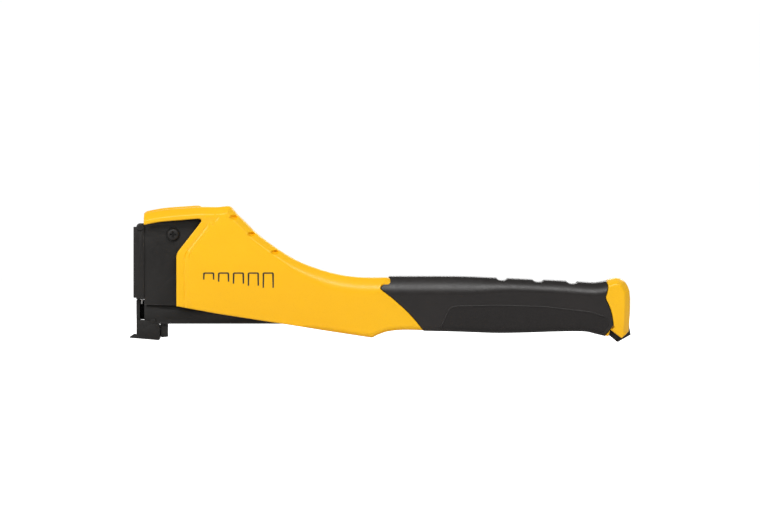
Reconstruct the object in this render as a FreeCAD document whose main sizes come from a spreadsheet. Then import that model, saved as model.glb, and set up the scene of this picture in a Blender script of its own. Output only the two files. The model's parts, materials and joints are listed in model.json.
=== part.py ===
import FreeCAD, Part
import math
import os
import Sketcher
from FreeCAD import Placement, Rotation, Vector

# Hammer tacker: a striking stapler swung like a hammer.
# Millimetres. +X runs from the nose to the butt, +Z up, +Y to the tool's right side.
# The origin is under the middle of the tool, on the level of its lowest point.
# The stapling head and the handle are one rigid body. The staple magazine lies along
# the whole handle and turns about two studs near the butt, so that the nose is
# pushed up into the head when the tool hits the work, and the fixed blade drives a staple.

doc = FreeCAD.newDocument("hammer_tacker")
sheet = doc.addObject("Spreadsheet::Sheet", "dims")

DIMENSIONS = {
    # widths across the tool, measured from the middle plane
    "shell_wall": 2.4,
    "shell_side": 13.5,
    "panel_side": 16.5,
    "grip_side": 16.0,
    "cavity_side": 11.1,
    "plate_inner": 8.3,
    "plate_thick": 1.5,
    "cover_inner": 10.1,
    "cover_wall": 1.2,
    "channel_side": 6.8,
    "channel_wall": 1.2,
    "rail_side": 4.3,
    "rail_wall": 1.0,
    "foot_side": 8.0,
    "slot_side": 8.2,
    "latch_side": 7.6,
    # levels of the magazine
    "channel_bottom": 13.1,
    "channel_top": 28.6,
    "rail_top": 26.0,
    "rod_level": 20.0,
    # the magazine's pivot
    "pivot_x": 159.5,
    "pivot_z": 19.6,
    "stud_radius": 3.0,
    "bush_radius": 4.0,
    "running_gap": 0.05,
    # throat that the staple leaves through
    "throat_front": -175.2,
    "throat_rear": -171.8,
    "staple_half_crown": 5.6,
    "blade_thick": 1.2,
    "blade_side": 5.2,
    "blade_tip": 27.6,
    "blade_tilt": 3.0,
    # fasteners, pins and springs
    "cover_pin_x": -174.6,
    "cover_pin_z": 83.5,
    "cover_pin_radius": 1.5,
    "head_screw_x": -150.7,
    "head_screw_z": 78.2,
    "head_screw_radius": 2.5,
    "frame_pin_radius": 2.5,
    "shell_screw_radius": 1.9,
    "shell_screw_head": 3.6,
    "boss_radius": 3.6,
    "rod_radius": 1.8,
    "pusher_spring_radius": 2.9,
    "return_spring_radius": 6.0,
    "return_spring_x": -106.0,
    "return_spring_top": 80.0,
    "latch_pin_x": 172.0,
    "latch_pin_radius": 1.5,
    "catch_bar_x": 162.6,
    "catch_bar_z": 11.3,
    "catch_bar_radius": 1.2,
}
for row, (alias, value) in enumerate(DIMENSIONS.items(), start=1):
    sheet.set("A" + str(row), alias)
    sheet.set("B" + str(row), str(value))
    sheet.setAlias("B" + str(row), alias)
doc.recompute()

SHELL_SCREWS = ((-121.0, 84.0), (-97.0, 75.0), (-68.0, 53.2), (112.0, 37.2), (172.5, 37.5))
FRAME_PINS = ((-141.5, 56.5), (-127.0, 70.0))
SIDES = {"left": -1, "right": 1}
SHOWN = {}


def dim(alias):
    return float(sheet.get(alias))


def line(*points):
    return [("line", point) for point in points]


def arc(middle, end):
    return [("arc", middle, end)]


def span(side, near, far):
    """The low and high Y of a layer on one side, as expressions."""
    if side == "left":
        return "-(" + far + ")", "-(" + near + ")"
    return near, far


def both(half):
    return "-(" + half + ")", half


def origin_plane(body, role):
    for feature in body.Origin.OriginFeatures:
        if feature.Role == role:
            return feature
    raise ValueError(role)


def new_body(name):
    body = doc.addObject("PartDesign::Body", name)
    body.Label = name
    SHOWN[name] = body
    return body


def side_sketch(body, name, outlines, level):
    """Closed outlines in X and Z, on a plane parallel to XZ at the Y that level gives."""
    sketch = body.newObject("Sketcher::SketchObject", name)
    sketch.AttachmentSupport = [(origin_plane(body, "XZ_Plane"), "")]
    sketch.MapMode = "FlatFace"
    sketch.setExpression("AttachmentOffset.Base.z", "-(" + level + ")")
    for outline in outlines:
        if outline[0] == "circle":
            centre, radius = outline[1], outline[2]
            circle = Part.Circle(Vector(centre[0], centre[1], 0), Vector(0, 0, 1), radius)
            index = sketch.addGeometry(circle, False)
            sketch.addConstraint(Sketcher.Constraint("Radius", index, radius))
            continue
        last = Vector(*outline[-1][-1], 0)
        joints = []
        for step in outline:
            end = Vector(*step[-1], 0)
            if step[0] == "arc":
                edge = Part.Arc(last, Vector(*step[1], 0), end)
            else:
                edge = Part.LineSegment(last, end)
            index = sketch.addGeometry(edge, False)
            starts_at_last = sketch.getPoint(index, 1).distanceToPoint(last) < 1e-4
            joints.append((index, 1, 2) if starts_at_last else (index, 2, 1))
            last = end
        for (index, head, _), (before, _, tail) in zip(joints, joints[-1:] + joints[:-1]):
            sketch.addConstraint(Sketcher.Constraint("Coincident", before, tail, index, head))
    return sketch


def pad(body, name, outlines, low, high):
    """A solid from the low to the high Y. The sketch faces -Y, so the pad is reversed."""
    sketch = side_sketch(body, name + "_sketch", outlines, low)
    feature = body.newObject("PartDesign::Pad", name)
    feature.Profile = sketch
    feature.setExpression("Length", "(" + high + ") - (" + low + ")")
    feature.Reversed = True
    doc.recompute()
    return feature


def pocket(body, name, outlines, low, high):
    before = body.Shape.Volume
    sketch = side_sketch(body, name + "_sketch", outlines, low)
    feature = body.newObject("PartDesign::Pocket", name)
    feature.Profile = sketch
    feature.setExpression("Length", "(" + high + ") - (" + low + ")")
    doc.recompute()
    if body.Shape.Volume > before - 1e-3:
        raise RuntimeError(name + " cuts nothing")
    return feature


def pin(name, radius, x, z, low, high):
    """A plain round pin along Y."""
    cylinder = doc.addObject("Part::Cylinder", name)
    cylinder.Label = name
    cylinder.setExpression("Radius", radius)
    cylinder.setExpression("Height", "(" + high + ") - (" + low + ")")
    doc.recompute()
    cylinder.Placement = Placement(Vector(x, 0, z), Rotation(Vector(1, 0, 0), -90))
    cylinder.setExpression("Placement.Base.y", low)
    return cylinder


def rod(name, radius, axis, start, length):
    """A plain round rod along X or Z from its start point."""
    cylinder = doc.addObject("Part::Cylinder", name)
    cylinder.Label = name
    cylinder.setExpression("Radius", radius)
    cylinder.Height = length
    turn = Rotation(Vector(0, 1, 0), 90) if axis == "x" else Rotation()
    cylinder.Placement = Placement(Vector(*start), turn)
    return cylinder


def joined(name, pieces):
    fuse = doc.addObject("Part::MultiFuse", name)
    fuse.Shapes = pieces
    fuse.Label = name
    SHOWN[name] = fuse
    return fuse


def grouped(name, pieces):
    group = doc.addObject("Part::Compound", name)
    group.Links = pieces
    group.Label = name
    SHOWN[name] = group
    return group


def cut(name, base, tool):
    result = doc.addObject("Part::Cut", name)
    result.Base = base
    result.Tool = tool
    result.Label = name
    SHOWN[name] = result
    return result


# Outlines of the handle, in X and Z ------------------------------------------------

ROOF = (
    arc((-152.0, 98.0), (-130.5, 99.5))
    + line((-110.0, 98.9), (-104.4, 93.1))
    + arc((-62.9, 60.6), (-12.6, 47.0))
)
HEAD_CUTOUT = (
    line((-148.1, 26.1), (-148.1, 62.6))
    + arc((-147.7, 64.9), (-146.7, 66.4))
    + line((-130.2, 86.6))
    + arc((-129.6, 88.7), (-131.2, 89.5))
    + arc((-151.5, 88.1), (-171.8, 85.1))
    + line((-171.8, 95.0))
)
BUTT = (
    line((165.2, 45.1))
    + arc((175.6, 46.0), (181.9, 31.5))
    + line((181.3, 12.6), (180.8, 7.5), (175.3, 2.8), (167.0, 9.3), (165.4, 4.0), (163.6, 4.7))
)
CORE_TOP = line((6.3, 47.0), (6.3, 45.4), (57.9, 45.4)) + arc((112.0, 42.9), (164.4, 42.4))
CORE_BOTTOM = (
    line((162.2, 8.2), (147.8, 9.9))
    + arc((92.0, 8.7), (32.1, 10.3))
    + line((32.1, 8.4))
    + arc((12.0, 9.0), (-1.5, 5.3))
    + line((-6.0, 3.1), (-42.3, 8.6))
)
SHELL = HEAD_CUTOUT + ROOF + CORE_TOP + BUTT + CORE_BOTTOM

CAVITY = (
    line((-185.0, -5.0), (-185.0, 92.4), (-113.5, 93.4), (-107.8, 89.4))
    + arc((-65.3, 57.8), (-12.6, 44.4))
    + line((6.3, 44.0), (57.9, 43.0))
    + arc((112.0, 40.5), (165.0, 39.9))
    + line((174.0, 41.5), (178.9, 37.0), (178.9, 14.0), (166.0, 12.3), (147.8, 12.3))
    + arc((92.0, 11.1), (20.8, 11.4))
    + line((-6.0, 7.0), (-55.0, 12.6), (-55.0, -5.0))
)
PANEL = (
    line((-140.8, 26.5), (-140.1, 63.0), (-117.8, 91.5), (-110.5, 91.5))
    + arc((-66.4, 57.2), (-12.6, 43.2))
    + line((2.2, 42.6), (-0.2, 39.2), (9.6, 32.5), (27.0, 13.4), (20.8, 11.2))
    + arc((8.0, 10.6), (-1.0, 8.1))
    + line((-6.0, 5.6), (-42.3, 11.0))
)
PANEL_HOLLOW = (
    line((-138.0, 30.0), (-138.0, 62.0), (-116.0, 88.0), (-112.0, 88.0))
    + arc((-68.8, 54.6), (-13.0, 40.6))
    + line((-4.0, 39.2), (20.0, 16.5), (18.0, 14.5), (-6.0, 9.4), (-42.3, 14.6))
)
GRIP_REAR = arc((166.1, 38.2), (164.1, 31.5)) + arc((168.6, 20.6), (169.4, 9.3))
BUTT_PANEL = (
    line((164.8, 44.7))
    + GRIP_REAR
    + line((175.3, 4.4), (179.6, 8.2), (180.2, 12.6), (180.8, 31.5))
    + arc((174.6, 44.9), (165.6, 44.9))
)
GRIP = (
    line((6.3, 47.8), (-0.1, 39.2), (9.7, 32.5), (32.1, 8.1))
    + arc((90.0, 6.3), (147.8, 7.8))
    + line((156.8, 5.8), (163.4, 4.5), (169.4, 9.3))
    + arc((168.6, 20.6), (164.1, 31.5))
    + arc((166.1, 38.2), (164.8, 44.7))
    + line((151.3, 43.4), (57.9, 47.8))
)
BUTT_SLOT = line((157.0, -5.0), (190.0, -5.0), (190.0, 31.5), (157.0, 31.5))


def screw_circles(radius, skip=()):
    return [("circle", spot, radius) for spot in SHELL_SCREWS if spot not in skip]


def housing(side):
    """One half of the yellow handle shell, with its screw bosses and pivot boss."""
    body = new_body("housing_" + side)
    pad(body, "wall", [SHELL], *span(side, "0", "dims.shell_side"))
    pad(body, "panel", [PANEL], *span(side, "dims.shell_side - 0.5", "dims.panel_side"))
    pad(body, "butt", [BUTT_PANEL], *span(side, "dims.shell_side - 0.5", "dims.grip_side"))
    pocket(body, "cavity", [CAVITY], *span(side, "0", "dims.cavity_side"))
    hollow = span(side, "dims.cavity_side", "dims.panel_side - dims.shell_wall")
    pocket(body, "panel_hollow", [PANEL_HOLLOW], *hollow)
    pad(body, "screw_bosses", screw_circles(dim("boss_radius")), *span(side, "0", "13"))
    pivot = (dim("pivot_x"), dim("pivot_z"))
    pad(body, "pivot_boss", [("circle", pivot, 6.5)], *span(side, "7.4", "13"))
    pocket(body, "pivot_hole", [("circle", pivot, dim("bush_radius"))], *span(side, "7", "12.9"))
    pin_holes = [("circle", spot, dim("frame_pin_radius")) for spot in FRAME_PINS]
    pocket(body, "frame_pin_holes", pin_holes, *span(side, "11", "12.6"))
    slot = span(side, "0", "dims.slot_side")
    pocket(body, "butt_slot", [BUTT_SLOT], *slot)
    pilot = dim("shell_screw_radius") + dim("running_gap")
    if side == "left":
        pocket(body, "pilot_holes", screw_circles(pilot), *span(side, "0", "11"))
    else:
        pocket(body, "screw_holes", screw_circles(pilot), "0", "12")
        counterbores = screw_circles(dim("shell_screw_head") + 0.4)
        pocket(body, "counterbores", counterbores, "12", "17")
    return body


def grip(side):
    """One half of the black rubber over the handle."""
    body = new_body("grip_" + side)
    pad(body, "rubber", [GRIP], *span(side, "0", "dims.grip_side"))
    long_edges = []
    outer = SIDES[side] * dim("grip_side")
    for number, edge in enumerate(body.Shape.Edges, start=1):
        middle = edge.valueAt((edge.FirstParameter + edge.LastParameter) / 2)
        on_face = abs(middle.y - outer) < 1e-3 and abs(edge.BoundBox.YLength) < 1e-3
        if on_face and edge.Length > 60:
            long_edges.append("Edge" + str(number))
    blank = body.Tip
    fillet = body.newObject("PartDesign::Fillet", "round_over")
    fillet.Base = (blank, long_edges)
    fillet.Radius = 6.0
    doc.recompute()
    core = span(side, "0", "dims.shell_side")
    pocket(body, "core_space", [SHELL], *core)
    pocket(body, "butt_slot", [BUTT_SLOT], *span(side, "0", "dims.slot_side"))
    if side == "right":
        under_grip = [("circle", SHELL_SCREWS[3], dim("shell_screw_head") + 0.4)]
        pocket(body, "screw_access", under_grip, "13", "17")
    return body


# The fixed head ---------------------------------------------------------------------

HEAD_PLATE = (
    line((-177.5, 31.1), (-177.5, 83.5))
    + arc((-176.6, 85.6), (-174.6, 86.4))
    + line((-171.6, 86.4), (-170.4, 91.0), (-118.5, 91.6), (-115.5, 88.6), (-115.5, 76.0))
    + line((-134.0, 52.0), (-136.0, 24.6), (-148.1, 26.6))
    + line((-171.6, 27.0), (-171.6, 31.1))
)


def head_plate(side):
    body = new_body("head_plate_" + side)
    near = "dims.plate_inner"
    pad(body, "plate", [HEAD_PLATE], *span(side, near, near + " + dims.plate_thick"))
    gap = dim("running_gap")
    holes = [
        ("circle", (dim("cover_pin_x"), dim("cover_pin_z")), dim("cover_pin_radius") + gap),
        ("circle", (dim("head_screw_x"), dim("head_screw_z")), dim("head_screw_radius") + gap),
        ("circle", SHELL_SCREWS[0], dim("boss_radius") + 0.1),
    ]
    holes += [("circle", spot, dim("frame_pin_radius") + gap) for spot in FRAME_PINS]
    pocket(body, "holes", holes, *span(side, near + " - 0.5", near + " + dims.plate_thick + 0.5"))
    return body


def blade_x(level):
    """The middle of the tilted driver blade at a height."""
    return -173.6 + (level - 31.3) * math.tan(math.radians(dim("blade_tilt")))


def striker_block():
    body = new_body("striker_block")
    back = dim("blade_thick") / 2 / math.cos(math.radians(dim("blade_tilt")))
    outline = line(
        (blade_x(60.0) + back, 60.0),
        (blade_x(88.0) + back, 88.0),
        (-146.0, 88.0),
        (-146.0, 70.0),
        (-153.0, 60.0),
    )
    pad(body, "block", [outline], *both("dims.plate_inner - 0.05"))
    hole = ("circle", (dim("head_screw_x"), dim("head_screw_z")), dim("head_screw_radius") + 0.05)
    pocket(body, "screw_hole", [hole], *both("dims.plate_inner + 1"))
    return body


def driver_blade():
    """The fixed blade that drives the staple, leaning back by its tilt."""
    body = new_body("driver_blade")
    half = dim("blade_thick") / 2 / math.cos(math.radians(dim("blade_tilt")))
    tip = dim("blade_tip")
    outline = line(
        (blade_x(tip) - half, tip),
        (blade_x(tip) + half, tip),
        (blade_x(86.0) + half, 86.0),
        (blade_x(86.0) - half, 86.0),
    )
    pad(body, "blade", [outline], *both("dims.blade_side"))
    return body


def driver_rivets():
    """Two rivets that hold the blade to the front of the striker block."""
    rivets = []
    for level in (67.0, 79.5):
        head = rod("rivet_head", "2.2", "x", (0, 0, 0), 1.0)
        front = blade_x(level) - dim("blade_thick") / 2 - 0.02
        turn = Rotation(Vector(0, 1, 0), 90 + dim("blade_tilt"))
        head.Placement = Placement(Vector(front - 1.0, 0, level), turn)
        rivets.append(head)
    return grouped("driver_rivets", rivets)


def head_screw():
    """The round-headed screw across the head, with a cross recess."""
    at = (dim("head_screw_x"), dim("head_screw_z"))
    shank = pin("screw_shank", "dims.head_screw_radius", at[0], at[1], "-12", "12.9")
    head = doc.addObject("Part::Cylinder", "screw_head")
    head.Radius = 4.7
    head.Height = 2.6
    head.Placement = Placement(Vector(at[0], -12.4, at[1]), Rotation(Vector(1, 0, 0), -90))
    doc.recompute()
    dome = doc.addObject("Part::Fillet", "screw_dome")
    dome.Base = head
    rim = [
        number
        for number, edge in enumerate(head.Shape.Edges, start=1)
        if edge.BoundBox.YLength < 1e-3 and edge.BoundBox.YMin < -12.3
    ]
    dome.Edges = [(number, 1.8, 1.8) for number in rim]
    whole = doc.addObject("Part::MultiFuse", "screw_blank")
    whole.Shapes = [shank, dome]
    arms = []
    for across, along in ((1.2, 5.2), (5.2, 1.2)):
        arm = doc.addObject("Part::Box", "recess_arm")
        arm.Length = across
        arm.Width = 1.6
        arm.Height = along
        corner = Vector(at[0] - across / 2, -12.8, at[1] - along / 2)
        arm.Placement = Placement(corner, Rotation())
        arms.append(arm)
    recess = doc.addObject("Part::MultiFuse", "recess")
    recess.Shapes = arms
    return cut("head_screw", whole, recess)


def head_nut():
    at = (dim("head_screw_x"), dim("head_screw_z"))
    blank = doc.addObject("Part::Prism", "nut_blank")
    blank.Polygon = 6
    blank.Circumradius = 4.6
    blank.Height = 3.0
    blank.Placement = Placement(Vector(at[0], 9.8, at[1]), Rotation(Vector(1, 0, 0), -90))
    hole = pin("nut_hole", "dims.head_screw_radius + dims.running_gap", at[0], at[1], "9", "13.5")
    return cut("head_nut", blank, hole)


def frame_pins():
    """Cross pins that tie the two head plates into the shell halves."""
    pins = [
        pin("frame_pin", "dims.frame_pin_radius", x, z, "-12.5", "12.5") for x, z in FRAME_PINS
    ]
    return grouped("frame_pins", pins)


def shell_screws():
    """Screws put in from the right side into the left half's bosses."""
    screws = []
    for x, z in SHELL_SCREWS:
        shank = pin("shank", "dims.shell_screw_radius", x, z, "-10", "12.1")
        head = pin("head", "dims.shell_screw_head", x, z, "12", "14")
        screw = doc.addObject("Part::MultiFuse", "screw")
        screw.Shapes = [shank, head]
        screws.append(screw)
    return grouped("housing_screws", screws)


def cover_pin():
    x, z = dim("cover_pin_x"), dim("cover_pin_z")
    shank = pin("pin_shank", "dims.cover_pin_radius", x, z, "-12.3", "12.3")
    heads = [
        pin("pin_head", "2.3", x, z, "-12.3", "-11.5"),
        pin("pin_head", "2.3", x, z, "11.5", "12.3"),
    ]
    return joined("cover_pin", [shank] + heads)


# Return spring, stops and pivot -------------------------------------------------------


def tube(name, outer, inner, axis, start, length):
    skin = rod("tube_outside", outer, axis, start, length)
    past = [0.0, 0.0, 0.0]
    past["xyz".index(axis)] = -1.0
    begin = tuple(a + b for a, b in zip(start, past))
    bore = rod("tube_inside", inner, axis, begin, length + 2.0)
    return cut(name, skin, bore)


def spring_abutment():
    """The block under the roof that the return spring pushes against."""
    body = new_body("spring_abutment")
    top = dim("return_spring_top")
    outline = line((-113.0, top), (-99.5, top), (-99.5, 80.8), (-107.5, 87.5), (-113.0, 91.8))
    pad(body, "block", [outline], *both("7"))
    middle = dim("return_spring_x")
    spigot = line((middle - 3.5, top), (middle + 3.5, top), (middle + 3.5, 74.0), (middle - 3.5, 74.0))
    pad(body, "spigot", [spigot], *both("2"))
    return body


def return_spring():
    start = (dim("return_spring_x"), 0.0, 31.0)
    length = dim("return_spring_top") - 31.0
    return tube("return_spring", "dims.return_spring_radius", "4.4", "z", start, length)


def spring_seat():
    """The cup on the magazine that carries the return spring."""
    x = dim("return_spring_x")
    top = dim("channel_top")
    disc = rod("seat_disc", "6.4", "z", (x, 0.0, top), 31.0 - top)
    spigot = rod("seat_spigot", "2.1", "z", (x, 0.0, top), 34.0 - top)
    return joined("spring_seat", [disc, spigot])


def stroke_bumper():
    body = new_body("stroke_bumper")
    outline = line((-52.0, 44.9), (-40.0, 44.0), (-40.0, 48.2), (-52.0, 51.8))
    pad(body, "bumper", [outline], *both("6"))
    return body


def rest_stop():
    body = new_body("rest_stop")
    outline = line((-42.0, 11.2), (-32.0, 10.05), (-32.0, 13.0), (-42.0, 13.0))
    pad(body, "stop", [outline], *both("5.5"))
    return body


def pivot_bush(side):
    x, z = dim("pivot_x"), dim("pivot_z")
    low, high = span(side, "7.4", "12.9")
    ring = pin("bush_outside", "dims.bush_radius", x, z, low, high)
    bore = pin("bush_inside", "dims.stud_radius + dims.running_gap", x, z, "-14", "14")
    return cut("pivot_bush_" + side, ring, bore)


# The magazine ---------------------------------------------------------------------------


def magazine_channel():
    body = new_body("magazine_channel")
    bottom, top = dim("channel_bottom"), dim("channel_top")
    front, rear = dim("throat_rear"), 166.0
    side_wall = line(
        (front, bottom),
        (front, top),
        (rear, top),
        (rear, 9.3),
        (159.4, 9.3),
        (157.0, bottom),
    )
    pad(body, "blank", [side_wall], *both("dims.channel_side"))
    web = top - dim("channel_wall") + 0.1
    inside = line((front - 2, 5.0), (front - 2, web), (rear + 2, web), (rear + 2, 5.0))
    pocket(body, "inside", [inside], *both("dims.channel_side - dims.channel_wall"))
    rib = line((-105.0, 17.8), (-105.0, 23.2), (-154.7, 23.2)) + arc((-157.4, 20.5), (-154.7, 17.8))
    for side in SIDES:
        near = "dims.channel_side - 0.1"
        pad(body, "rib_" + side, [rib], *span(side, near, "dims.channel_side + 0.6"))
    holes = [
        ("circle", (dim("pivot_x"), dim("pivot_z")), 2.0),
        ("circle", (dim("catch_bar_x"), dim("catch_bar_z")), dim("catch_bar_radius")),
        ("circle", (-165.5, 14.9), 1.2),
    ]
    pocket(body, "holes", holes, *both("dims.channel_side + 1"))
    return body


def staple_rail():
    """The inner rail that the staples straddle, slotted along its top for the pusher."""
    body = new_body("staple_rail")
    bottom, top = dim("channel_bottom"), dim("rail_top")
    front, rear = -171.0, 148.0
    blank = line((front, bottom), (front, top), (rear, top), (rear, bottom))
    pad(body, "blank", [blank], *both("dims.rail_side"))
    foot = line((front, bottom), (front, bottom + 1), (rear, bottom + 1), (rear, bottom))
    for side in SIDES:
        edge = span(side, "dims.rail_side - 0.5", "dims.channel_side - dims.channel_wall")
        pad(body, "flange_" + side, [foot], *edge)
    inner_top = top - dim("rail_wall")
    inside = line((front - 1, 5.0), (front - 1, inner_top), (rear + 1, inner_top), (rear + 1, 5.0))
    pocket(body, "inside", [inside], *both("dims.rail_side - dims.rail_wall"))
    slot = line((-168.0, 22.0), (-168.0, 30.0), (rear + 1, 30.0), (rear + 1, 22.0))
    pocket(body, "pusher_slot", [slot], *both("1.2"))
    return body


def nose_foot():
    """The casting at the muzzle: two cheeks, a toe lip and the staple throat."""
    body = new_body("nose_foot")
    outline = (
        line((-182.3, 2.9), (-161.5, 1.2), (-160.5, 3.2), (-160.7, 12.3))
        + arc((-168.5, 15.2), (-177.4, 16.0))
        + line((-177.4, 5.2), (-179.3, 5.9), (-182.5, 3.8))
    )
    pad(body, "cheeks", [outline], *both("dims.foot_side"))
    front, rear = dim("throat_front"), dim("throat_rear")
    channel = line((rear - 0.1, 13.0), (-150.0, 13.0), (-150.0, 20.0), (rear - 0.1, 20.0))
    pocket(body, "channel_space", [channel], *both("dims.channel_side + 0.1"))
    throat = line((front, -3.0), (rear, -3.0), (rear, 20.0), (front, 20.0))
    pocket(body, "throat", [throat], *both("dims.staple_half_crown"))
    plate = line((-180.0, 6.2), (front, 6.2), (front, 20.0), (-180.0, 20.0))
    pocket(body, "plate_space", [plate], *both("dims.channel_side"))
    rivet = ("circle", (-165.5, 14.9), 1.2)
    pocket(body, "rivet_holes", [rivet], *both("dims.foot_side + 1"))
    return body


def nose_plate():
    body = new_body("nose_plate")
    front = dim("throat_front")
    outline = line((-177.6, 6.2), (front, 6.2), (front, 31.2), (-176.9, 31.2), (-177.6, 30.2))
    pad(body, "plate", [outline], *both("dims.channel_side"))
    cheek = line((front - 0.4, 16.2), (front + 3.2, 16.2), (front + 3.2, 30.6), (front - 0.4, 30.6))
    pad(body, "side_wall", [cheek], *span("right", "6.1", "dims.channel_side"))
    return body


def heel_block():
    body = new_body("heel_block")
    outline = line((-160.3, 4.1), (-159.2, 3.2), (-154.9, 3.6), (-154.9, 13.1), (-160.3, 13.1))
    pad(body, "heel", [outline], *both("5"))
    return body


def foot_rivets():
    rivets = []
    for side in SIDES:
        low, high = span(side, "5.7", "8.15")
        shank = pin("rivet_shank", "1.2", -165.5, 14.9, low, high)
        head_low, head_high = span(side, "8.0", "8.15")
        head = pin("rivet_head", "1.9", -165.5, 14.9, head_low, head_high)
        rivet = doc.addObject("Part::MultiFuse", "rivet")
        rivet.Shapes = [shank, head]
        rivets.append(rivet)
    return grouped("foot_rivets", rivets)


def pivot_studs():
    """Two studs on the channel's sides that the magazine turns on."""
    studs = []
    x, z = dim("pivot_x"), dim("pivot_z")
    for side in SIDES:
        low, high = span(side, "dims.channel_side", "12.6")
        journal = pin("journal", "dims.stud_radius", x, z, low, high)
        low, high = span(side, "5.7", "dims.channel_side + 0.2")
        spigot = pin("spigot", "2.0", x, z, low, high)
        stud = doc.addObject("Part::MultiFuse", "stud")
        stud.Shapes = [journal, spigot]
        studs.append(stud)
    return grouped("pivot_studs", studs)


def catch_bar():
    bar = pin(
        "catch_bar",
        "dims.catch_bar_radius",
        dim("catch_bar_x"),
        dim("catch_bar_z"),
        "-dims.channel_side",
        "dims.channel_side",
    )
    SHOWN["catch_bar"] = bar
    return bar


# The front cover that opens to clear a jam ---------------------------------------------


def front_cover():
    body = new_body("front_cover")
    outline = (
        line((-179.5, 32.6), (-179.0, 32.1), (-172.0, 32.1), (-172.0, 82.0))
        + arc((-172.3, 85.2), (-174.6, 86.4))
        + line((-176.5, 85.6), (-177.0, 83.8), (-179.3, 83.8), (-179.5, 83.6))
    )
    pad(body, "blank", [outline], *both("dims.cover_inner + dims.cover_wall"))
    inside = line((-178.3, 30.0), (-170.0, 30.0), (-170.0, 90.0), (-178.3, 90.0))
    pocket(body, "inside", [inside], *both("dims.cover_inner"))
    hinge = (dim("cover_pin_x"), dim("cover_pin_z"))
    hole = ("circle", hinge, dim("cover_pin_radius") + dim("running_gap"))
    pocket(body, "hinge_hole", [hole], *both("13"))
    return body


# The follower that pulls out of the butt to load staples -----------------------------------


def follower_block():
    body = new_body("follower_block")
    block = line((149.0, 13.6), (167.6, 13.6), (167.6, 27.2), (149.0, 27.2))
    pad(body, "block", [block], *both("5.3"))
    tongue = line((167.0, 14.5), (176.0, 14.5), (176.0, 25.0), (167.0, 25.0))
    pad(body, "tongue", [tongue], *both("3"))
    hole = ("circle", (dim("latch_pin_x"), dim("rod_level")), dim("latch_pin_radius"))
    pocket(body, "pin_hole", [hole], *both("4"))
    bore = body.newObject("PartDesign::SubtractiveCylinder", "rod_bore")
    bore.setExpression("Radius", "dims.rod_radius")
    bore.Height = 6.0
    bore.AttachmentSupport = [(origin_plane(body, "YZ_Plane"), "")]
    bore.MapMode = "FlatFace"
    bore.AttachmentOffset = Placement(Vector(0, dim("rod_level"), 148.0), Rotation())
    return body


def pusher_rod():
    level = dim("rod_level")
    shank = rod("rod_shank", "dims.rod_radius", "x", (-169.5, 0.0, level), 154.0 + 169.5)
    head = rod("rod_head", "2.7", "x", (-169.5, 0.0, level), 2.0)
    return joined("pusher_rod", [shank, head])


def pusher_spring():
    start = (-154.0, 0.0, dim("rod_level"))
    length = 149.0 + 154.0
    return tube("pusher_spring", "dims.pusher_spring_radius", "2.1", "x", start, length)


def latch_pin():
    radius = "dims.latch_pin_radius"
    level = dim("rod_level")
    SHOWN["latch_pin"] = pin("latch_pin", radius, dim("latch_pin_x"), level, "-7.4", "7.4")
    return SHOWN["latch_pin"]


def latch_spring():
    return tube("latch_spring", "1.7", "1.1", "x", (176.0, 0.0, 23.2), 2.8)


def latch_handle():
    """The V-shaped finger catch under the butt, with its hook."""
    body = new_body("latch_handle")
    outline = (
        line((167.2, 4.7), (173.1, 0.0), (182.5, 5.2), (181.6, 10.0), (181.0, 22.0))
        + line((177.2, 26.4), (171.0, 26.4), (169.4, 20.0), (168.8, 9.2), (167.5, 7.4))
    )
    pad(body, "handle", [outline], *both("dims.latch_side"))
    space = line((165.0, 12.0), (178.8, 12.0), (178.8, 30.0), (165.0, 30.0))
    pocket(body, "tongue_space", [space], *both("3.3"))
    hook = line((158.4, 7.5), (169.5, 7.5), (169.5, 9.2), (159.9, 9.2), (159.9, 11.4), (158.4, 11.4))
    pad(body, "hook", [hook], *both("5"))
    hole = ("circle", (dim("latch_pin_x"), dim("rod_level")), dim("latch_pin_radius") + 0.05)
    pocket(body, "pin_hole", [hole], *both("8"))
    return body


def pusher():
    """The saddle that straddles the rail and pushes the staples to the nose."""
    body = new_body("pusher")
    saddle = line((-171.6, 14.5), (-153.0, 14.5), (-153.0, 27.2), (-171.6, 27.2))
    pad(body, "saddle", [saddle], *both("5.3"))
    over_rail = line((-175.0, 10.0), (-150.0, 10.0), (-150.0, 26.2), (-175.0, 26.2))
    pocket(body, "rail_space", [over_rail], *both("dims.rail_side + 0.2"))
    stem = line((-166.5, 22.0), (-155.0, 22.0), (-155.0, 26.8), (-166.5, 26.8))
    pad(body, "stem", [stem], *both("0.95"))
    boss = body.newObject("PartDesign::AdditiveCylinder", "rod_boss")
    boss.setExpression("Radius", "dims.pusher_spring_radius")
    boss.Height = 12.5
    bore = body.newObject("PartDesign::SubtractiveCylinder", "rod_bore")
    bore.setExpression("Radius", "dims.rod_radius + dims.running_gap")
    bore.Height = 20.0
    for feature, start in ((boss, -166.8), (bore, -170.0)):
        feature.AttachmentSupport = [(origin_plane(body, "YZ_Plane"), "")]
        feature.MapMode = "FlatFace"
        feature.AttachmentOffset = Placement(Vector(0, dim("rod_level"), start), Rotation())
    return body


def build():
    for side in SIDES:
        housing(side)
        grip(side)
        head_plate(side)
        pivot_bush(side)
    striker_block()
    driver_blade()
    driver_rivets()
    head_screw()
    head_nut()
    frame_pins()
    shell_screws()
    cover_pin()
    spring_abutment()
    return_spring()
    stroke_bumper()
    rest_stop()
    magazine_channel()
    staple_rail()
    nose_foot()
    nose_plate()
    heel_block()
    foot_rivets()
    pivot_studs()
    catch_bar()
    spring_seat()
    front_cover()
    follower_block()
    pusher_rod()
    pusher_spring()
    latch_pin()
    latch_spring()
    latch_handle()
    pusher()


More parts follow.
